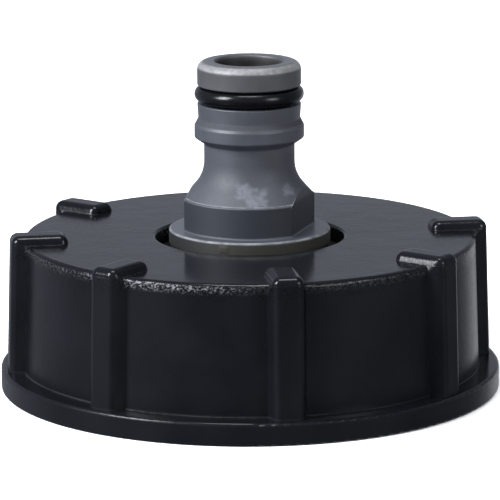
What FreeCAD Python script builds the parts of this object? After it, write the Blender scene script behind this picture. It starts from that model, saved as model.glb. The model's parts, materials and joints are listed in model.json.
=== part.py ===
import FreeCAD, Part
import math
import os

# Adapter that puts a click-on hose spigot on a container's coarse-thread outlet.
# Millimetres. The origin is the centre of the cap nut's mouth, which stands on z = 0,
# +Z runs up through the spigot and -Y is the front. Angles are counted from the front,
# positive towards +X.

# Cap nut, inside: the bore is cut at the root of the coarse thread
THREAD_ROOT_RADIUS = 30.4
MOUTH_CHAMFER = 1.2
THREAD_BORE_DEPTH = 14.2
POCKET_STEP = 1.3
POCKET_CORNER_ROUNDING = 0.5
TOP_WALL = 3.3
HOLE_CLEARANCE = 2.1
HOLE_UPPER_ROUNDING = 0.4
HOLE_LOWER_ROUNDING = 0.3

# Cap nut, outside
SKIRT_WALL = 4.5
SKIRT_DRAFT = 0.7
SKIRT_TOP_ROUNDING = 0.7
SKIRT_FOOT_ROUNDING = 0.2
FLANGE_WIDTH = 3.15
FLANGE_HEIGHT = 3.6
FLANGE_LOWER_ROUNDING = 0.4
FLANGE_UPPER_ROUNDING = 0.5

# Claw ribs that climb the skirt and bend over onto the cap's top
RIB_PLACES = 8
BARE_RIB_PLACE = 3
FIRST_RIB_ANGLE = 8.9
RIB_CREST_WIDTH = 4.1
RIB_FLANK_SPREAD = 0.36
RIB_PROUD = 2.25
RIB_TOP_HEIGHT = 1.35
RIB_TOP_LENGTH = 6.5
RIB_ROUNDING = 1.25
RIB_HALF_EXTENT = 4.0
RIB_SINK = 1.0

# Running gaps between the nut and what turns inside it
SWIVEL_GAP = 0.3
POCKET_GAP = 0.35

# Tank seal, a flat rubber ring whose lower face lies just above the thread
SEAL_STEP = 0.3
SEAL_WIDTH = 6.75
SEAL_THICKNESS = 3.0
SEAL_ROUNDING = 0.3

# Threaded insert: disc under the cap's top, collar in its hole, hub below
DISC_SETBACK = 0.75
DISC_THICKNESS = 2.5
DISC_ROUNDING = 0.4
COLLAR_HEIGHT = 1.3
COLLAR_ROUNDING = 0.3
HUB_WALL = 2.6
HUB_DEPTH = 2.7
HUB_ROUNDING = 0.4
SEAL_GUIDE_WALL = 2.0
SEAL_GUIDE_SHORT = 1.1
SEAL_GUIDE_GAP = 0.3
INSERT_BORE_CHAMFER = 0.5

# Half-inch pipe thread between spigot and insert, cut at its largest radius
PIPE_THREAD_RADIUS = 10.48
PIPE_THREAD_GAP = 0.08

# Flat washer under the spigot's flange
WASHER_WIDTH = 1.6
WASHER_THICKNESS = 1.3
WASHER_BORE_GAP = 0.12

# Spigot, below the wrench base
TAIL_END_GAP = 0.2
TAIL_CHAMFER = 0.8
TAIL_RELIEF_LENGTH = 1.2
TAIL_RELIEF_DEPTH = 1.2
SPIGOT_FLANGE_OVERHANG = 0.3
SPIGOT_FLANGE_THICKNESS = 2.3
SPIGOT_FLANGE_LOWER_ROUNDING = 0.25
SPIGOT_FLANGE_UPPER_ROUNDING = 0.45

# Spigot, round base with two wrench flats and the flare above it
BASE_STEP = 2.0
BASE_HEIGHT = 4.95
BASE_ROUNDING = 0.3
BASE_LEDGE = 0.4
BASE_FOOT_FILLET = 0.3
FLAT_DEPTH = 1.83
FLAT_ANGLE = 72.0
FLARE_HEIGHT = 3.5
FLARE_ROUNDING = 5.5

# Spigot, click-on end
NOSE_RADIUS = 8.0
NOSE_LENGTH = 3.7
NOSE_ROUNDING = 1.3
NECK_DEPTH = 1.0
NECK_LENGTH = 4.8
NECK_ROUNDING = 0.4
COUPLING_PROUD = 0.46
COUPLING_RAMP = 1.0
COUPLING_WIDTH = 1.8
COUPLING_ROUNDING = 0.3
LAND_TAPER = 0.14
LAND_RAMP = 1.15
LAND_LENGTH = 2.35
LAND_ROUNDING = 0.4
GROOVE_ROUNDING = 0.2
GROOVE_WALL = 0.85
WATERWAY_MOUTH_ROUNDING = 0.4

# O-ring and the room it has in its groove
O_RING_PROUD = 0.43
O_RING_SECTION_RADIUS = 1.2
O_RING_SEAT_GAP = 0.02
O_RING_SIDE_GAP = 0.19

# Two lengths closer than this count as the same
MATCH_TOLERANCE = 0.01

# Radii that follow, first those that start from the coarse thread
skirt_top_radius = THREAD_ROOT_RADIUS + SKIRT_WALL
skirt_foot_radius = skirt_top_radius + SKIRT_DRAFT
flange_radius = skirt_foot_radius + FLANGE_WIDTH
rib_inner_radius = skirt_top_radius - RIB_TOP_LENGTH
pocket_radius = THREAD_ROOT_RADIUS - POCKET_STEP
seal_outer_radius = pocket_radius - POCKET_GAP
seal_inner_radius = seal_outer_radius - SEAL_WIDTH
disc_radius = seal_outer_radius - DISC_SETBACK

# Radii that start from the pipe thread
hub_radius = PIPE_THREAD_RADIUS + HUB_WALL
washer_bore_radius = PIPE_THREAD_RADIUS + WASHER_BORE_GAP
washer_radius = washer_bore_radius + WASHER_WIDTH
spigot_flange_radius = washer_radius + SPIGOT_FLANGE_OVERHANG
hole_radius = spigot_flange_radius + HOLE_CLEARANCE
collar_radius = hole_radius - SWIVEL_GAP
base_radius = spigot_flange_radius - BASE_STEP

# Radii that start from the nose
neck_radius = NOSE_RADIUS - NECK_DEPTH
coupling_radius = NOSE_RADIUS + COUPLING_PROUD
o_ring_outer_radius = NOSE_RADIUS + O_RING_PROUD
groove_floor_radius = o_ring_outer_radius - 2 * O_RING_SECTION_RADIUS - O_RING_SEAT_GAP
waterway_radius = groove_floor_radius - GROOVE_WALL

# Heights that follow, from the mouth upwards
seal_bottom = THREAD_BORE_DEPTH + SEAL_STEP
disc_bottom = seal_bottom + SEAL_THICKNESS
hub_bottom = disc_bottom - HUB_DEPTH
disc_top = disc_bottom + DISC_THICKNESS
pocket_top = disc_top + SWIVEL_GAP
cap_height = pocket_top + TOP_WALL
collar_top = disc_top + COLLAR_HEIGHT
flange_bottom = collar_top + WASHER_THICKNESS
flange_top = flange_bottom + SPIGOT_FLANGE_THICKNESS
base_top = flange_top + BASE_HEIGHT
flare_top = base_top + FLARE_HEIGHT
neck_top = flare_top + NECK_LENGTH
coupling_bottom = neck_top + COUPLING_RAMP
coupling_top = coupling_bottom + COUPLING_WIDTH
land_bottom = coupling_top + LAND_RAMP
groove_bottom = land_bottom + LAND_LENGTH
groove_top = groove_bottom + 2 * (O_RING_SECTION_RADIUS + O_RING_SIDE_GAP)
nose_top = groove_top + NOSE_LENGTH


def corner_arc(before, corner, after, rounding):
    """Arc of the given radius that touches both lines of a corner."""
    to_before = (before - corner).normalize()
    to_after = (after - corner).normalize()
    half_angle = to_before.getAngle(to_after) / 2
    setback = rounding / math.tan(half_angle)
    bisector = (to_before + to_after).normalize()
    middle = corner + bisector * (rounding / math.sin(half_angle) - rounding)
    return Part.Arc(corner + to_before * setback, middle, corner + to_after * setback)


def outline_face(corners):
    """Face in the XZ plane from (radius, height, rounding) corners in order."""
    points = [FreeCAD.Vector(radius, 0, height) for radius, height, rounding in corners]
    arcs = []
    for index, (radius, height, rounding) in enumerate(corners):
        following = points[(index + 1) % len(points)]
        arc = corner_arc(points[index - 1], points[index], following, rounding) if rounding else None
        arcs.append(arc)
    edges = []
    for index, arc in enumerate(arcs):
        following = (index + 1) % len(points)
        start = arc.EndPoint if arc else points[index]
        end = arcs[following].StartPoint if arcs[following] else points[following]
        if arc:
            edges.append(arc.toShape())
        edges.append(Part.LineSegment(start, end).toShape())
    return Part.Face(Part.Wire(edges))


def turned(corners):
    """Solid of revolution about Z of an outline."""
    return outline_face(corners).revolve(FreeCAD.Vector(), FreeCAD.Vector(0, 0, 1), 360)


def flat_prism(points, direction):
    """Prism from the corner points of its first face."""
    return Part.Face(Part.makePolygon(points + points[:1])).extrude(direction)


def turn_to(shape, angle):
    """Turns a shape built along +X to an angle counted from the front."""
    shape.rotate(FreeCAD.Vector(), FreeCAD.Vector(0, 0, 1), angle - 90)
    return shape


def claw_rib(angle):
    """One rib: an L seen from the side, with sloping flanks and rounded edges."""
    foot = FLANGE_HEIGHT - RIB_SINK
    crest = cap_height + RIB_TOP_HEIGHT
    back = skirt_top_radius - RIB_SINK
    outer_top = skirt_top_radius + RIB_PROUD
    outer_foot = outer_top + SKIRT_DRAFT
    half_crest = RIB_CREST_WIDTH / 2
    side_view = outline_face([
        (back, foot, 0),
        (outer_foot, foot, 0),
        (outer_top, crest, 0),
        (rib_inner_radius, crest, 0),
        (rib_inner_radius, cap_height - RIB_SINK, 0),
        (back, cap_height - RIB_SINK, 0),
    ])
    side_view.translate(FreeCAD.Vector(0, -RIB_HALF_EXTENT, 0))
    bar = side_view.extrude(FreeCAD.Vector(0, 2 * RIB_HALF_EXTENT, 0))

    reach = outer_foot - rib_inner_radius + RIB_SINK
    half_back = half_crest + RIB_FLANK_SPREAD * reach
    upright = flat_prism([
        FreeCAD.Vector(outer_foot, -half_crest, foot),
        FreeCAD.Vector(outer_foot, half_crest, foot),
        FreeCAD.Vector(outer_foot - reach, half_back, foot),
        FreeCAD.Vector(outer_foot - reach, -half_back, foot),
    ], FreeCAD.Vector(outer_top - outer_foot, 0, crest - foot))

    drop = crest - foot
    half_bottom = half_crest + RIB_FLANK_SPREAD * drop
    level = flat_prism([
        FreeCAD.Vector(rib_inner_radius, -half_crest, crest),
        FreeCAD.Vector(rib_inner_radius, half_crest, crest),
        FreeCAD.Vector(rib_inner_radius, half_bottom, foot),
        FreeCAD.Vector(rib_inner_radius, -half_bottom, foot),
    ], FreeCAD.Vector(reach, 0, 0))

    rib = bar.common(upright).common(level)
    edges = []
    for edge in rib.Edges:
        box = edge.BoundBox
        above_flange = box.ZMax > FLANGE_HEIGHT
        proud = box.ZMax > cap_height or box.XMax > skirt_foot_radius
        if above_flange and proud:
            edges.append(edge)
    return turn_to(rib.makeFillet(RIB_ROUNDING, edges), angle)


def cap_nut():
    body = turned([
        (THREAD_ROOT_RADIUS + MOUTH_CHAMFER, 0, 0),
        (flange_radius, 0, FLANGE_LOWER_ROUNDING),
        (flange_radius, FLANGE_HEIGHT, FLANGE_UPPER_ROUNDING),
        (skirt_foot_radius, FLANGE_HEIGHT, SKIRT_FOOT_ROUNDING),
        (skirt_top_radius, cap_height, SKIRT_TOP_ROUNDING),
        (hole_radius, cap_height, HOLE_UPPER_ROUNDING),
        (hole_radius, pocket_top, HOLE_LOWER_ROUNDING),
        (pocket_radius, pocket_top, POCKET_CORNER_ROUNDING),
        (pocket_radius, THREAD_BORE_DEPTH, 0),
        (THREAD_ROOT_RADIUS, THREAD_BORE_DEPTH, 0),
        (THREAD_ROOT_RADIUS, MOUTH_CHAMFER, 0),
    ])
    places = [place for place in range(RIB_PLACES) if place != BARE_RIB_PLACE]
    ribs = [claw_rib(FIRST_RIB_ANGLE + place * 360 / RIB_PLACES) for place in places]
    return body.multiFuse(ribs).removeSplitter()


def threaded_insert():
    guide_outer = seal_inner_radius - SEAL_GUIDE_GAP
    guide_inner = guide_outer - SEAL_GUIDE_WALL
    guide_bottom = seal_bottom + SEAL_GUIDE_SHORT
    return turned([
        (PIPE_THREAD_RADIUS, hub_bottom + INSERT_BORE_CHAMFER, 0),
        (PIPE_THREAD_RADIUS + INSERT_BORE_CHAMFER, hub_bottom, 0),
        (hub_radius, hub_bottom, HUB_ROUNDING),
        (hub_radius, disc_bottom, HUB_ROUNDING),
        (guide_inner, disc_bottom, HUB_ROUNDING),
        (guide_inner, guide_bottom, HUB_ROUNDING),
        (guide_outer, guide_bottom, HUB_ROUNDING),
        (guide_outer, disc_bottom, 0),
        (disc_radius, disc_bottom, DISC_ROUNDING),
        (disc_radius, disc_top, DISC_ROUNDING),
        (collar_radius, disc_top, 0),
        (collar_radius, collar_top, COLLAR_ROUNDING),
        (PIPE_THREAD_RADIUS + INSERT_BORE_CHAMFER, collar_top, 0),
        (PIPE_THREAD_RADIUS, collar_top - INSERT_BORE_CHAMFER, 0),
    ])


def tank_seal():
    return turned([
        (seal_inner_radius, seal_bottom, SEAL_ROUNDING),
        (seal_outer_radius, seal_bottom, SEAL_ROUNDING),
        (seal_outer_radius, disc_bottom, SEAL_ROUNDING),
        (seal_inner_radius, disc_bottom, SEAL_ROUNDING),
    ])


def spigot_washer():
    return turned([
        (washer_bore_radius, collar_top, 0),
        (washer_radius, collar_top, 0),
        (washer_radius, flange_bottom, 0),
        (washer_bore_radius, flange_bottom, 0),
    ])


def spigot():
    tail_radius = PIPE_THREAD_RADIUS - PIPE_THREAD_GAP
    tail_bottom = hub_bottom + TAIL_END_GAP
    relief_radius = tail_radius - TAIL_RELIEF_DEPTH
    relief_bottom = flange_bottom - TAIL_RELIEF_LENGTH
    body = turned([
        (waterway_radius, tail_bottom, 0),
        (tail_radius - TAIL_CHAMFER, tail_bottom, 0),
        (tail_radius, tail_bottom + TAIL_CHAMFER, 0),
        (tail_radius, relief_bottom - TAIL_RELIEF_DEPTH, 0),
        (relief_radius, relief_bottom, 0),
        (relief_radius, flange_bottom, 0),
        (spigot_flange_radius, flange_bottom, SPIGOT_FLANGE_LOWER_ROUNDING),
        (spigot_flange_radius, flange_top, SPIGOT_FLANGE_UPPER_ROUNDING),
        (base_radius, flange_top, 0),
        (base_radius, base_top, BASE_ROUNDING),
        (base_radius - BASE_LEDGE, base_top, 0),
        (neck_radius, flare_top, FLARE_ROUNDING),
        (neck_radius, neck_top, NECK_ROUNDING),
        (coupling_radius, coupling_bottom, COUPLING_ROUNDING),
        (coupling_radius, coupling_top, COUPLING_ROUNDING),
        (NOSE_RADIUS - LAND_TAPER, land_bottom, LAND_ROUNDING),
        (NOSE_RADIUS, groove_bottom, GROOVE_ROUNDING),
        (groove_floor_radius, groove_bottom, 0),
        (groove_floor_radius, groove_top, 0),
        (NOSE_RADIUS, groove_top, GROOVE_ROUNDING),
        (NOSE_RADIUS, nose_top, NOSE_ROUNDING),
        (waterway_radius, nose_top, WATERWAY_MOUTH_ROUNDING),
    ])
    flat_cut = Part.makeBox(
        base_radius,
        2 * base_radius,
        neck_top - flange_top,
        FreeCAD.Vector(base_radius - FLAT_DEPTH, -base_radius, flange_top),
    )
    body = body.cut(turn_to(flat_cut.copy(), FLAT_ANGLE))
    body = body.cut(turn_to(flat_cut.copy(), FLAT_ANGLE + 180))
    foot_edges = []
    for edge in body.Edges:
        middle = edge.valueAt((edge.FirstParameter + edge.LastParameter) / 2)
        box = edge.BoundBox
        on_flange = abs(box.ZMax - flange_top) < MATCH_TOLERANCE and box.ZLength < MATCH_TOLERANCE
        if on_flange and math.hypot(middle.x, middle.y) < base_radius + MATCH_TOLERANCE:
            foot_edges.append(edge)
    return body.makeFillet(BASE_FOOT_FILLET, foot_edges)


def nose_o_ring():
    ring_radius = o_ring_outer_radius - O_RING_SECTION_RADIUS
    middle = (groove_bottom + groove_top) / 2
    return Part.makeTorus(ring_radius, O_RING_SECTION_RADIUS, FreeCAD.Vector(0, 0, middle))


os.makedirs("parts", exist_ok=True)
for make in (cap_nut, threaded_insert, tank_seal, spigot_washer, spigot, nose_o_ring):
    solid = make()
    solid.exportStep(f"parts/{make.__name__}.step")
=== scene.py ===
import json
import math

import bpy
from mathutils import Matrix, Vector


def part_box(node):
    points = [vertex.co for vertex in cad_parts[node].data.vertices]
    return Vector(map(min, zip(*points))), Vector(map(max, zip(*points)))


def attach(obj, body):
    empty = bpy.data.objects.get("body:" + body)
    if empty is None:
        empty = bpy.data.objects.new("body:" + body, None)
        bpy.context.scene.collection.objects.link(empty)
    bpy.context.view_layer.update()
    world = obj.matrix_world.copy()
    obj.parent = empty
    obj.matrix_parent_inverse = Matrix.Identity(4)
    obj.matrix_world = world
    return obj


# Looks of a screw cap adapter for a container's outlet, with a click-on hose spigot.
# Everything is in metres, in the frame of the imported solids: z = 0 is the floor that the
# cap stands on, +Z runs up through the spigot and -Y faces the camera.
MM = 0.001

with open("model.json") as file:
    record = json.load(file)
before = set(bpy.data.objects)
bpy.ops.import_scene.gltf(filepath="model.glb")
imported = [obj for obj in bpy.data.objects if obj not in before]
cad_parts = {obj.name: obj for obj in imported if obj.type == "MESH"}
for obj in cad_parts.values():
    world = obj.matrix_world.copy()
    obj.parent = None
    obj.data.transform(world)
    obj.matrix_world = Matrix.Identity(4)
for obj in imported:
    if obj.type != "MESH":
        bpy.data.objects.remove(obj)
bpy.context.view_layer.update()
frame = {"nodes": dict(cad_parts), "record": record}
record = frame["record"]
nodes = frame["nodes"]

# Camera, where the photograph's ellipses put it, with its angles in degrees and its lens in millimetres
CAMERA_DISTANCE = 0.600
CAMERA_HEIGHT = 0.1530
CAMERA_ACROSS = 0.00004
CAMERA_PITCH = 12.395
CAMERA_ROLL = -0.22
CAMERA_LENS = 285.27
SENSOR_WIDTH = 36.0

# Outlet thread inside the nut, which the solids leave at its root radius. Fade and step are in degrees.
THREAD_MOUNT = next(mount for mount in record["mounts"] if mount["name"] == "tank_thread")
THREAD_ROOT_RADIUS = THREAD_MOUNT["dims"]["r_mm"] * MM
THREAD_DEPTH = 2.2 * MM
THREAD_PITCH = 6.0 * MM
THREAD_ROOT_WIDTH = 4.2 * MM
THREAD_CREST_WIDTH = 1.5 * MM
THREAD_LOAD_FLANK = 0.35 * MM
THREAD_FIRST_Z = 3.6 * MM
THREAD_LAST_Z = 12.1 * MM
THREAD_CREST_SOFTNESS = 0.22 * MM
THREAD_BITE = 0.06 * MM
THREAD_FADE = 26.0
THREAD_STEP = 3.0
THREAD_LEAST_SHARE = 0.03

# Where the ridge runs out, its crest keeps this share of its width, and its lower root climbs past
# the middle by this share of half the root width
THREAD_END_CREST = 0.4
THREAD_END_CLIMB = 0.3

# Forms of the cap that its look depends on
CLAW_HEIGHT = 1.35 * MM
CAP_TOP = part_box("cap_nut")[1].z - CLAW_HEIGHT
CAP_FLANGE_TOP = 3.6 * MM
SKIRT_TOP_RADIUS = 34.9 * MM

# Forms of the spigot that its look depends on, from its flange up to its nose
SPIGOT_LOW, SPIGOT_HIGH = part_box("spigot")
RIM_RADIUS = (SPIGOT_HIGH.x - SPIGOT_LOW.x) / 2
RIM_TOP = 24.9 * MM
BASE_TOP = 29.85 * MM
NECK_TOP = 38.15 * MM
COLLAR_TOP = 40.95 * MM
LAND_BOTTOM = 42.1 * MM
GROOVE_BOTTOM = 44.45 * MM
NOSE_TOP = SPIGOT_HIGH.z
NOSE_RADIUS = 8.0 * MM
WATERWAY_RADIUS = 5.16 * MM

# Gate mark on the rim of the spigot's flange, its angle in degrees from the front
GATE_ANGLE = -18.5
GATE_WIDTH = 1.7 * MM
GATE_HEIGHT = 1.3 * MM
GATE_PROUD = 0.06 * MM
GATE_BITE = 0.05 * MM
GATE_Z = 23.75 * MM
GATE_COLUMNS = 9
GATE_ROWS = 7

# Pale flow marks on the spigot's flare, the last of them a painted highlight at the edge of the flat:
# middle across, height, half width and half height
FLOW_MARKS_AND_GLINT = (
    (1.1 * MM, 31.2 * MM, 1.0 * MM, 0.9 * MM),
    (-1.1 * MM, 32.1 * MM, 0.4 * MM, 0.6 * MM),
    (6.1 * MM, 31.9 * MM, 0.3 * MM, 0.4 * MM),
)

# Least angle in degrees at which an edge of a piece made here is shaded sharp
SHARP_ANGLE = 35.0

# Cosines between a face's normal and its bevelled one where wear starts and where it is full
EDGE_COSINES = (0.995, 0.93)

# Floor and lights
FLOOR_REACH = 4.0
FLOOR_GLOW = 0.2
LIGHT_TARGET = Vector((0, 0, 0.03))
KEY_COLOUR = (0.96, 0.985, 1.04)

# Surroundings. Sky and paper meet between two heights of the view direction. The paper gleams
# behind at the right, between two cosines of the angle from the gleam's middle.
WORLD_TINT = (0.89, 0.95, 1.1)
HORIZON = (-0.05, 0.03)
GLEAM_DIRECTION = (0.44, 0.87, -0.2)
GLEAM_COSINES = (0.965, 0.99)
GLEAM_STRENGTH = 0.7


# Materials


class Nodes:
    """Short ways to add and join shader nodes in one material."""

    def __init__(self, name):
        self.material = bpy.data.materials.new(name)
        self.material.use_nodes = True
        self.tree = self.material.node_tree
        self.shader = self.tree.nodes["Principled BSDF"]
        self.place = self.add("ShaderNodeTexCoord").outputs["Object"]
        self.facing = self.add("ShaderNodeTexCoord").outputs["Normal"]

    def add(self, kind, **values):
        node = self.tree.nodes.new(kind)
        for key, value in values.items():
            setattr(node, key, value)
        return node

    def join(self, source, target):
        self.tree.links.new(source, target)

    def math(self, operation, first, second=0.0, clamp=False):
        node = self.add("ShaderNodeMath", operation=operation, use_clamp=clamp)
        for socket, value in zip(node.inputs, (first, second)):
            if isinstance(value, (int, float)):
                socket.default_value = value
            else:
                self.join(value, socket)
        return node.outputs[0]

    def times(self, first, *others):
        """Product of a socket with other sockets or numbers."""
        for other in others:
            first = self.math("MULTIPLY", first, other)
        return first

    def plus(self, first, *others):
        """Sum of a socket with other sockets or numbers."""
        for other in others:
            first = self.math("ADD", first, other)
        return first

    def noise(self, size, detail=2.0, roughness=0.5, stretch=(1, 1, 1), shift=(0, 0, 0)):
        """Noise from 0 to 1 whose blotches are about size metres wide."""
        mapping = self.add("ShaderNodeMapping")
        mapping.inputs["Location"].default_value = shift
        mapping.inputs["Scale"].default_value = [share / size for share in stretch]
        self.join(self.place, mapping.inputs["Vector"])
        noise = self.add("ShaderNodeTexNoise")
        noise.inputs["Scale"].default_value = 1.0
        noise.inputs["Detail"].default_value = detail
        noise.inputs["Roughness"].default_value = roughness
        self.join(mapping.outputs["Vector"], noise.inputs["Vector"])
        return noise.outputs["Fac"]

    def spread(self, source, low, high, to_low=0.0, to_high=1.0):
        """Maps low..high to to_low..to_high, with smooth ends."""
        node = self.add("ShaderNodeMapRange", interpolation_type="SMOOTHSTEP")
        self.join(source, node.inputs["Value"])
        for name, value in (
            ("From Min", low),
            ("From Max", high),
            ("To Min", to_low),
            ("To Max", to_high),
        ):
            node.inputs[name].default_value = value
        return node.outputs["Result"]

    def axis(self, source, name):
        """One part of a vector socket."""
        split = self.add("ShaderNodeSeparateXYZ")
        self.join(source, split.inputs[0])
        return split.outputs[name]

    def radius(self):
        """Distance from the upright axis."""
        flat = self.add("ShaderNodeVectorMath", operation="MULTIPLY")
        flat.inputs[1].default_value = (1, 1, 0)
        self.join(self.place, flat.inputs[0])
        length = self.add("ShaderNodeVectorMath", operation="LENGTH")
        self.join(flat.outputs["Vector"], length.inputs[0])
        return length.outputs["Value"]

    def band(self, source, low, high, soft):
        """1 between low and high, 0 outside, with smooth ends."""
        return self.times(self.spread(source, low - soft, low), self.spread(source, high + soft, high))

    def blend(self, share, first, second):
        """Mix of two colours, each a tuple or a socket."""
        node = self.add("ShaderNodeMix", data_type="RGBA")
        for socket, value in ((node.inputs[6], first), (node.inputs[7], second)):
            if isinstance(value, tuple):
                socket.default_value = (*value, 1.0)
            else:
                self.join(value, socket)
        self.join(share, node.inputs[0])
        return node.outputs[2]

    def edges(self, radius):
        """1 on edges and on what lies within the given distance of them, 0 on open faces."""
        bevel = self.add("ShaderNodeBevel", samples=6)
        bevel.inputs["Radius"].default_value = radius
        geometry = self.add("ShaderNodeNewGeometry")
        dot = self.add("ShaderNodeVectorMath", operation="DOT_PRODUCT")
        self.join(bevel.outputs["Normal"], dot.inputs[0])
        self.join(geometry.outputs["Normal"], dot.inputs[1])
        return self.spread(dot.outputs["Value"], *EDGE_COSINES)

    def bump(self, height, depth, under=None):
        """Normal of a relief that is depth metres deep, on top of another normal if one is given."""
        node = self.add("ShaderNodeBump")
        node.inputs["Distance"].default_value = depth
        self.join(height, node.inputs["Height"])
        if under is not None:
            self.join(under, node.inputs["Normal"])
        return node.outputs["Normal"]

    def finish(self, colour, roughness, normal, specular):
        """Joins the sockets to the shader and gives the material."""
        self.join(colour, self.shader.inputs["Base Color"])
        self.join(roughness, self.shader.inputs["Roughness"])
        self.join(normal, self.shader.inputs["Normal"])
        self.shader.inputs["Specular IOR Level"].default_value = specular
        self.shader.inputs["IOR"].default_value = 1.5
        return self.material


def cap_plastic():
    """Black moulded plastic: satin skirt with light scuffs and a painted glint on its upper corner,
    smoother top and claws.
    """
    n = Nodes("cap_plastic")
    height = n.axis(n.place, "Z")
    across = n.axis(n.place, "X")
    cloud = n.noise(9 * MM, detail=3)
    grain = n.noise(0.35 * MM, detail=3, roughness=0.6)
    peel = n.noise(0.9 * MM, detail=2)
    ripple = n.noise(5 * MM, detail=1)
    top = n.spread(n.axis(n.facing, "Z"), 0.3, 0.9)
    shoulder = n.spread(height, CAP_TOP - 2.7 * MM, CAP_TOP - 1.2 * MM)

    body = n.blend(n.spread(cloud, 0.3, 0.7), (0.0026, 0.0029, 0.0041), (0.0038, 0.0043, 0.0058))
    patchy = n.spread(n.noise(1.1 * MM, detail=4), 0.42, 0.75)
    wear = n.times(n.edges(0.5 * MM), patchy, 0.12)
    colour = n.blend(wear, body, (0.03, 0.031, 0.035))

    # Light specks on the skirt's upper corner, most of them on its front left: partly scuffs, partly a
    # painted highlight where the key light glints on the rounding
    specks = n.spread(n.noise(0.42 * MM, detail=3, roughness=0.6, stretch=(1, 1, 1.4)), 0.45, 0.72)
    corner_start = n.spread(height, CAP_TOP - 1.9 * MM, CAP_TOP - 0.5 * MM)
    corner_end = n.spread(height, CAP_TOP + 0.04 * MM, CAP_TOP - 0.02 * MM)
    upright = n.spread(top, 0.4, 0.0)
    off_ribs = n.spread(n.radius(), SKIRT_TOP_RADIUS + 0.5 * MM, SKIRT_TOP_RADIUS + 0.3 * MM)
    towards_left = n.spread(across, 4 * MM, -14 * MM, 0.14, 0.95)
    left_end = n.spread(across, -26 * MM, -21 * MM, 0.2, 1.0)
    scuffs_and_glints = n.times(specks, corner_start, corner_end, upright, off_ribs, towards_left, left_end)
    colour = n.blend(scuffs_and_glints, colour, (0.2, 0.202, 0.21))

    # The foot of the skirt is dull, so that its small rounding draws no light line
    claw = n.times(n.spread(height, CAP_TOP + 0.05 * MM, CAP_TOP + 0.3 * MM), n.spread(top, 1.0, 0.5))
    foot = n.band(height, CAP_FLANGE_TOP + 0.03 * MM, CAP_FLANGE_TOP + 0.3 * MM, 0.02 * MM)
    roughness = n.plus(
        n.spread(grain, 0.25, 0.75, 0.25, 0.35),
        n.times(cloud, 0.05),
        n.times(top, -0.14),
        n.times(shoulder, -0.04),
        n.times(claw, -0.08),
        n.times(foot, 0.35),
    )

    below_top = n.spread(height, CAP_TOP + 0.1 * MM, CAP_TOP)
    relief = n.plus(n.times(shoulder, below_top, 1.8), 1.0)
    calm = n.spread(top, 0.0, 1.0, 1.0, 0.25)
    waves = n.bump(ripple, 0.03 * MM)
    skin = n.bump(n.times(peel, relief, calm), 0.022 * MM, waves)
    normal = n.bump(grain, 0.006 * MM, skin)
    return n.finish(colour, roughness, normal, specular=0.16)


def insert_plastic():
    """Black plastic of the insert, duller and less blue than the cap's."""
    n = Nodes("insert_plastic")
    grain = n.noise(0.4 * MM, detail=3, roughness=0.6)
    cloud = n.noise(6 * MM, detail=2)
    colour = n.blend(n.spread(cloud, 0.3, 0.7), (0.0022, 0.0023, 0.0026), (0.0036, 0.0038, 0.0042))
    roughness = n.spread(grain, 0.25, 0.75, 0.42, 0.56)
    normal = n.bump(grain, 0.008 * MM, n.bump(cloud, 0.03 * MM))
    return n.finish(colour, roughness, normal, specular=0.12)


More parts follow.
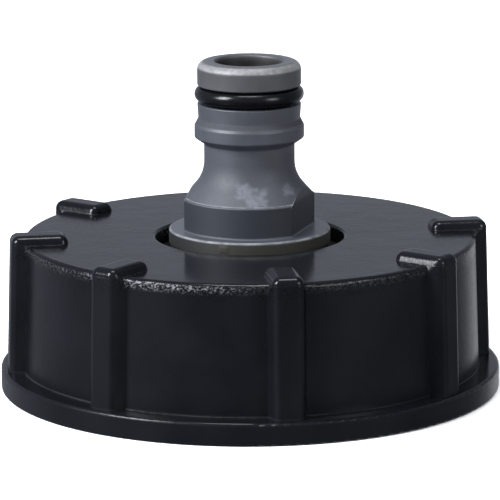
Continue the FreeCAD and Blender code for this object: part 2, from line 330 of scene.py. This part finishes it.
def spigot_plastic():
    """Grey moulded plastic: flow marks on the flare, painted shade on the foot, olive rim, painted
    highlights on the edges.
    """
    n = Nodes("spigot_plastic")
    height = n.axis(n.place, "Z")
    across = n.axis(n.place, "X")
    radius = n.radius()
    rise = n.axis(n.facing, "Z")
    level = n.spread(rise, 0.9, 0.99)
    cloud = n.noise(4 * MM, detail=3)
    grain = n.noise(0.3 * MM, detail=3, roughness=0.6)
    streaks = n.noise(1.0 * MM, detail=4, roughness=0.6, stretch=(0.8, 0.8, 1.1), shift=(3, 1, 7))

    # Body, bluish below the groove and neutral on the nose, with painted shade on the base's upright
    # sides
    mottle = n.spread(cloud, 0.3, 0.7)
    body = n.blend(mottle, (0.0255, 0.0285, 0.036), (0.0325, 0.036, 0.0455))
    nose = n.blend(mottle, (0.0275, 0.0283, 0.0305), (0.035, 0.036, 0.039))
    body = n.blend(n.spread(height, GROOVE_BOTTOM + 0.05 * MM, GROOVE_BOTTOM + 1.55 * MM), body, nose)
    foot = n.spread(height, BASE_TOP + 0.45 * MM, BASE_TOP - 0.35 * MM)
    upright = n.spread(rise, 0.6, 0.2)
    body = n.blend(n.times(foot, upright, 0.85), body, (0.0035, 0.0065, 0.0115))

    # Olive rim of the flange with painted shade on its left, painted reflection on the sides of its
    # top, painted shade inside the bore
    outer = n.spread(radius, RIM_RADIUS - 1.2 * MM, RIM_RADIUS - 0.7 * MM)
    rim = n.times(n.spread(height, RIM_TOP, RIM_TOP - 0.5 * MM), outer, 0.85)
    left = n.spread(across, -4 * MM, -9 * MM)
    body = n.blend(rim, body, n.blend(left, (0.0145, 0.0137, 0.008), (0.004, 0.0038, 0.0026)))
    # Painted reflection of the sky on the level sides of the flange's top
    painted_ledge_sheen = n.band(height, RIM_TOP - 0.1 * MM, RIM_TOP + 0.7 * MM, 0.1 * MM)
    sideways = n.spread(n.math("ABSOLUTE", across), 7 * MM, 10 * MM)
    body = n.blend(n.times(painted_ledge_sheen, sideways, level, 0.8), body, (0.055, 0.058, 0.07))
    # Painted shade inside the bore, darker further down
    within = n.spread(radius, WATERWAY_RADIUS + 0.84 * MM, WATERWAY_RADIUS + 0.34 * MM)
    below = n.spread(height, NOSE_TOP - 0.23 * MM, NOSE_TOP - 1.23 * MM)
    body = n.blend(n.times(within, below), body, (0.0045, 0.0039, 0.0027))

    # Pale flow marks with ragged outlines, and a painted highlight at the edge of the flat
    front = n.spread(n.axis(n.place, "Y"), -3 * MM, -6 * MM)
    patches = 0.0
    for middle, centre, half_width, half_height in FLOW_MARKS_AND_GLINT:
        beside = n.band(across, middle - half_width, middle + half_width, 1.6 * MM)
        along = n.band(height, centre - half_height, centre + half_height, 1.2 * MM)
        patches = n.math("ADD", n.times(beside, along), patches, clamp=True)
    ragged = n.plus(n.times(patches, front, 0.5), streaks)
    colour = n.blend(n.spread(ragged, 0.74, 1.14, 0.0, 0.24), body, (0.2, 0.21, 0.245))

    # Painted highlight lines on the edges of the base, the collar and the flange's rim, broken up by
    # noise
    base_edge = n.band(height, BASE_TOP - 0.45 * MM, BASE_TOP + 0.75 * MM, 0.2 * MM)
    collar_edge = n.band(height, COLLAR_TOP - 0.45 * MM, COLLAR_TOP - 0.05 * MM, 0.1 * MM)
    sharp = n.times(n.plus(base_edge, collar_edge), n.edges(0.3 * MM))
    rim_edge = n.band(height, RIM_TOP - 0.26 * MM, RIM_TOP - 0.08 * MM, 0.08 * MM)
    corner = n.spread(radius, RIM_RADIUS - 0.5 * MM, RIM_RADIUS - 0.3 * MM)
    glint_lines = n.math("ADD", sharp, n.times(rim_edge, corner, 0.45), clamp=True)
    glint_breaks = n.spread(n.noise(1.6 * MM, detail=4), 0.3, 0.65, 0.25, 0.95)
    colour = n.blend(n.times(glint_lines, glint_breaks, 0.75), colour, (0.36, 0.36, 0.37))

    # Painted highlight of the overhead light on the nose's rounded corner, broken into light flecks
    nose_corner = n.band(height, NOSE_TOP - 0.83 * MM, NOSE_TOP - 0.23 * MM, 0.3 * MM)
    outside = n.spread(radius, NOSE_RADIUS - 1.9 * MM, NOSE_RADIUS - 1.4 * MM)
    flecks = n.spread(n.noise(0.7 * MM, detail=4, roughness=0.6), 0.3, 0.65, 0.55, 1.0)
    colour = n.blend(n.times(nose_corner, outside, flecks, 0.7), colour, (0.195, 0.195, 0.197))

    # The upper part of the ramp above the collar is dull and has painted shade, so that only the
    # collar's edge catches the light
    ramp = n.band(height, LAND_BOTTOM - 0.6 * MM, LAND_BOTTOM - 0.1 * MM, 0.25 * MM)
    colour = n.blend(n.times(ramp, 0.45), colour, (0.01, 0.011, 0.013))
    flare = n.spread(height, NECK_TOP + 0.35 * MM, NECK_TOP - 1.65 * MM)
    roughness = n.plus(
        n.spread(grain, 0.25, 0.75, 0.46, 0.57),
        n.times(ramp, 0.3),
        n.times(flare, 0.1),
        n.times(level, -0.28),
    )
    normal = n.bump(grain, 0.006 * MM, n.bump(cloud, 0.02 * MM))
    return n.finish(colour, roughness, normal, specular=0.5)


def o_ring_rubber():
    """Black rubber with a film of grease."""
    n = Nodes("o_ring_rubber")
    film = n.noise(1.8 * MM, detail=3)
    grain = n.noise(0.2 * MM, detail=2)
    colour = n.blend(film, (0.0015, 0.0015, 0.002), (0.003, 0.003, 0.004))
    roughness = n.spread(film, 0.3, 0.7, 0.2, 0.27)
    normal = n.bump(grain, 0.002 * MM)
    return n.finish(colour, roughness, normal, specular=0.2)


def flat_rubber(name, dark, light):
    """Matt rubber with a fine dusty grain, between two greys."""
    n = Nodes(name)
    dust = n.noise(2.5 * MM, detail=4, roughness=0.65)
    grain = n.noise(0.25 * MM, detail=2)
    colour = n.blend(n.spread(dust, 0.35, 0.75), (dark,) * 3, (light,) * 3)
    roughness = n.spread(grain, 0.3, 0.7, 0.6, 0.78)
    normal = n.bump(grain, 0.012 * MM)
    return n.finish(colour, roughness, normal, specular=0.35)


def floor_white():
    """Pale paper that can be seen from above only."""
    n = Nodes("floor_paper")
    fibre = n.noise(1.5 * MM, detail=3)
    colour = n.blend(fibre, (0.86,) * 3, (0.9,) * 3)
    roughness = n.spread(fibre, 0.0, 1.0, 0.8, 0.9)
    material = n.finish(colour, roughness, n.bump(fibre, 0.005 * MM), specular=0.2)
    n.shader.inputs["Emission Color"].default_value = (1, 1, 1, 1)
    n.shader.inputs["Emission Strength"].default_value = FLOOR_GLOW
    clear = n.add("ShaderNodeBsdfTransparent")
    side = n.add("ShaderNodeNewGeometry").outputs["Backfacing"]
    mix = n.add("ShaderNodeMixShader")
    n.join(side, mix.inputs[0])
    n.join(n.shader.outputs[0], mix.inputs[1])
    n.join(clear.outputs[0], mix.inputs[2])
    output = next(node for node in n.tree.nodes if node.type == "OUTPUT_MATERIAL")
    n.join(mix.outputs[0], output.inputs["Surface"])
    return material


# Pieces


def mesh_piece(name, points, faces, body, material):
    """A smooth mesh object that rides on a body and wears a slot's material."""
    mesh = bpy.data.meshes.new(name)
    mesh.from_pydata(points, [], faces)
    mesh.materials.append(material)
    piece = bpy.data.objects.new(name, mesh)
    bpy.context.scene.collection.objects.link(piece)
    mesh.shade_smooth()
    mesh.set_sharp_from_angle(angle=math.radians(SHARP_ANGLE))
    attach(piece, body)
    return piece


def thread_section(share):
    """(inwards, upwards) points of the ridge's section, from its lower root to its upper root.

    Share is 1 for the full section and falls towards 0 where the ridge runs out.
    """
    depth = THREAD_DEPTH * share
    width = THREAD_CREST_WIDTH * (THREAD_END_CREST + (1 - THREAD_END_CREST) * share)
    upper_root = THREAD_ROOT_WIDTH / 2
    lower_root = upper_root * (THREAD_END_CLIMB * (1 - share) - share)
    upper_crest = upper_root - THREAD_LOAD_FLANK * share
    lower_crest = upper_crest - width
    soft = THREAD_CREST_SOFTNESS * share
    return [
        (-THREAD_BITE, lower_root),
        (0.0, lower_root),
        (depth - soft, lower_crest - soft),
        (depth, lower_crest + soft),
        (depth, upper_crest - soft),
        (depth - soft, upper_crest),
        (0.0, upper_root),
        (-THREAD_BITE, upper_root),
    ]


def outlet_thread(material):
    """Helical ridge of the outlet thread, fading out at both ends."""
    turn = (THREAD_LAST_Z - THREAD_FIRST_Z) / THREAD_PITCH * 360
    steps = round(turn / THREAD_STEP)
    points, faces = [], []
    ring = len(thread_section(1))
    for step in range(steps + 1):
        angle = turn * step / steps
        fade = min(angle, turn - angle, THREAD_FADE) / THREAD_FADE
        share = max(math.sin(fade * math.pi / 2), THREAD_LEAST_SHARE)
        height = THREAD_FIRST_Z + (THREAD_LAST_Z - THREAD_FIRST_Z) * step / steps
        around = math.radians(angle)
        for inwards, upwards in thread_section(share):
            radius = THREAD_ROOT_RADIUS - inwards
            points.append((radius * math.cos(around), radius * math.sin(around), height + upwards))
    for step in range(steps):
        for corner in range(ring):
            following = (corner + 1) % ring
            here, there = step * ring, (step + 1) * ring
            faces.append((here + corner, there + corner, there + following, here + following))
    faces.append(tuple(range(ring)))
    faces.append(tuple(reversed(range(steps * ring, (steps + 1) * ring))))
    return mesh_piece("outlet_thread", points, faces, "nut", material)


def gate_mark(material):
    """Low patch on the flange's rim where the moulding's gate was cut off."""
    columns, rows = GATE_COLUMNS, GATE_ROWS
    points, faces = [], []
    for layer in (0, 1):
        for row in range(rows):
            for column in range(columns):
                across = column / (columns - 1) * 2 - 1
                up = row / (rows - 1) * 2 - 1
                edge = max(abs(across), abs(up)) ** 3
                radius = RIM_RADIUS + (GATE_PROUD * (1 - edge) if layer else -GATE_BITE)
                angle = math.radians(GATE_ANGLE) + across * GATE_WIDTH / 2 / RIM_RADIUS
                height = GATE_Z + up * GATE_HEIGHT / 2
                points.append((radius * math.sin(angle), -radius * math.cos(angle), height))
    count = columns * rows
    for row in range(rows - 1):
        for column in range(columns - 1):
            first = row * columns + column
            quad = (first, first + 1, first + 1 + columns, first + columns)
            faces.append(tuple(reversed(quad)))
            faces.append(tuple(corner + count for corner in quad))
    border = list(range(columns))
    border += [row * columns + columns - 1 for row in range(1, rows)]
    border += [(rows - 1) * columns + column for column in range(columns - 2, -1, -1)]
    border += [row * columns for row in range(rows - 2, 0, -1)]
    for first, second in zip(border, border[1:] + border[:1]):
        faces.append((first, second, second + count, first + count))
    return mesh_piece("gate_mark", points, faces, "insert", material)


def dress(node, material):
    """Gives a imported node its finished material."""
    slots = nodes[node].data.materials
    for index in range(len(slots)):
        slots[index] = material


# Studio


def make_floor():
    """Sheet of paper that the adapter stands on. Reflections see the world's lower half instead."""
    mesh = bpy.data.meshes.new("floor")
    corners = [(x * FLOOR_REACH, y * FLOOR_REACH, 0) for x, y in ((-1, -1), (1, -1), (1, 1), (-1, 1))]
    mesh.from_pydata(corners, [], [(0, 1, 2, 3)])
    mesh.materials.append(floor_white())
    floor = bpy.data.objects.new("floor", mesh)
    floor.visible_glossy = False
    bpy.context.scene.collection.objects.link(floor)


def softbox(name, azimuth, elevation, distance, width, height, watts, colour=(1, 1, 1)):
    """Rectangular light on the object. Azimuth is counted from the camera, positive to its right."""
    light = bpy.data.lights.new(name, "AREA")
    light.shape = "RECTANGLE"
    light.size, light.size_y = width, height
    light.energy = watts
    light.color = colour
    lamp = bpy.data.objects.new(name, light)
    across, up = math.radians(azimuth), math.radians(elevation)
    back = Vector((math.sin(across) * math.cos(up), -math.cos(across) * math.cos(up), math.sin(up)))
    lamp.location = LIGHT_TARGET + back * distance
    lamp.rotation_mode = "QUATERNION"
    lamp.rotation_quaternion = (-back).to_track_quat("-Z", "Y")
    lamp.visible_camera = False
    bpy.context.scene.collection.objects.link(lamp)


def make_world():
    """Grey studio. Below the horizon it stands for the paper, dim in front and lighter around."""
    world = bpy.data.worlds.new("studio")
    world.use_nodes = True
    bpy.context.scene.world = world
    tree = world.node_tree
    background = tree.nodes["Background"]
    place = tree.nodes.new("ShaderNodeTexCoord").outputs["Generated"]
    split = tree.nodes.new("ShaderNodeSeparateXYZ")
    tree.links.new(place, split.inputs[0])

    def graded(axis, stops, tint=WORLD_TINT):
        """Grey ramp along one axis of the view direction, from -1 to 1."""
        shift = tree.nodes.new("ShaderNodeMath")
        shift.operation = "MULTIPLY_ADD"
        shift.inputs[1].default_value = 0.5
        shift.inputs[2].default_value = 0.5
        ramp = tree.nodes.new("ShaderNodeValToRGB")
        elements = ramp.color_ramp.elements
        for index, (along, grey) in enumerate(stops):
            position = along / 2 + 0.5
            stop = elements[index] if index < 2 else elements.new(position)
            stop.position = position
            stop.color = (*(grey * share for share in tint), 1)
        tree.links.new(split.outputs[axis], shift.inputs[0])
        tree.links.new(shift.outputs[0], ramp.inputs[0])
        return ramp.outputs["Color"]

    def ranged(source, limits, top=1.0, kind="LINEAR"):
        """Maps the two limits to 0 and top."""
        node = tree.nodes.new("ShaderNodeMapRange")
        node.interpolation_type = kind
        node.inputs["From Min"].default_value = limits[0]
        node.inputs["From Max"].default_value = limits[1]
        node.inputs["To Max"].default_value = top
        tree.links.new(source, node.inputs["Value"])
        return node.outputs["Result"]

    def mixed(first, second, share=1.0, kind="MIX"):
        """Two colours put together. Share is a number or a socket."""
        node = tree.nodes.new("ShaderNodeMix")
        node.data_type = "RGBA"
        node.blend_type = kind
        if isinstance(share, float):
            node.inputs[0].default_value = share
        else:
            tree.links.new(share, node.inputs[0])
        tree.links.new(first, node.inputs[6])
        tree.links.new(second, node.inputs[7])
        return node.outputs[2]

    sides = graded("X", [(-1.0, 1.0), (0.25, 1.0), (1.0, 0.55)], tint=(1, 1, 1))
    sky_stops = [(0.0, 0.45), (0.2, 0.46), (0.23, 0.36), (0.34, 0.29), (0.6, 0.36), (1.0, 0.5)]
    sky = graded("Z", sky_stops)
    near_stops = [(-1.0, 0.03), (-0.88, 0.06), (-0.62, 0.48), (-0.4, 0.46)]
    far_stops = [(-0.05, 0.24), (0.4, 0.4), (1.0, 0.4)]
    paper = graded("Y", near_stops + far_stops)

    towards = tree.nodes.new("ShaderNodeVectorMath")
    towards.operation = "DOT_PRODUCT"
    towards.inputs[1].default_value = GLEAM_DIRECTION
    tree.links.new(place, towards.inputs[0])
    gleam = ranged(towards.outputs["Value"], GLEAM_COSINES, GLEAM_STRENGTH, "SMOOTHSTEP")
    lit_paper = mixed(paper, gleam, kind="ADD")
    whole = mixed(lit_paper, sky, share=ranged(split.outputs["Z"], HORIZON))
    tree.links.new(mixed(whole, sides, kind="MULTIPLY"), background.inputs["Color"])


def make_camera():
    """Camera with the photograph's place, tilt and framing."""
    data = bpy.data.cameras.new("camera")
    data.lens = CAMERA_LENS
    data.sensor_width = SENSOR_WIDTH
    camera = bpy.data.objects.new("camera", data)
    camera.location = (CAMERA_ACROSS, -CAMERA_DISTANCE, CAMERA_HEIGHT)
    tilt = Matrix.Rotation(math.radians(90 - CAMERA_PITCH), 3, "X")
    roll = Matrix.Rotation(math.radians(CAMERA_ROLL), 3, "Z")
    camera.rotation_euler = (tilt @ roll).to_euler()
    bpy.context.scene.collection.objects.link(camera)
    bpy.context.scene.camera = camera


cap_material = cap_plastic()
insert_material = insert_plastic()
spigot_material = spigot_plastic()
dress("cap_nut", cap_material)
dress("threaded_insert", insert_material)
dress("tank_seal", flat_rubber("seal_rubber", dark=0.008, light=0.02))
dress("spigot_washer", flat_rubber("washer_rubber", dark=0.003, light=0.006))
dress("spigot", spigot_material)
dress("nose_o_ring", o_ring_rubber())
outlet_thread(cap_material)
gate_mark(spigot_material)

make_floor()
make_world()
softbox(
    "key", azimuth=-62, elevation=34, distance=1.0, width=0.34, height=0.55, watts=25, colour=KEY_COLOUR
)
softbox("fill", azimuth=52, elevation=22, distance=1.1, width=0.35, height=0.5, watts=5.6)
softbox("overhead", azimuth=0, elevation=86, distance=1.2, width=0.5, height=0.32, watts=8.5)
make_camera()
bpy.context.scene.view_settings.view_transform = "Standard"
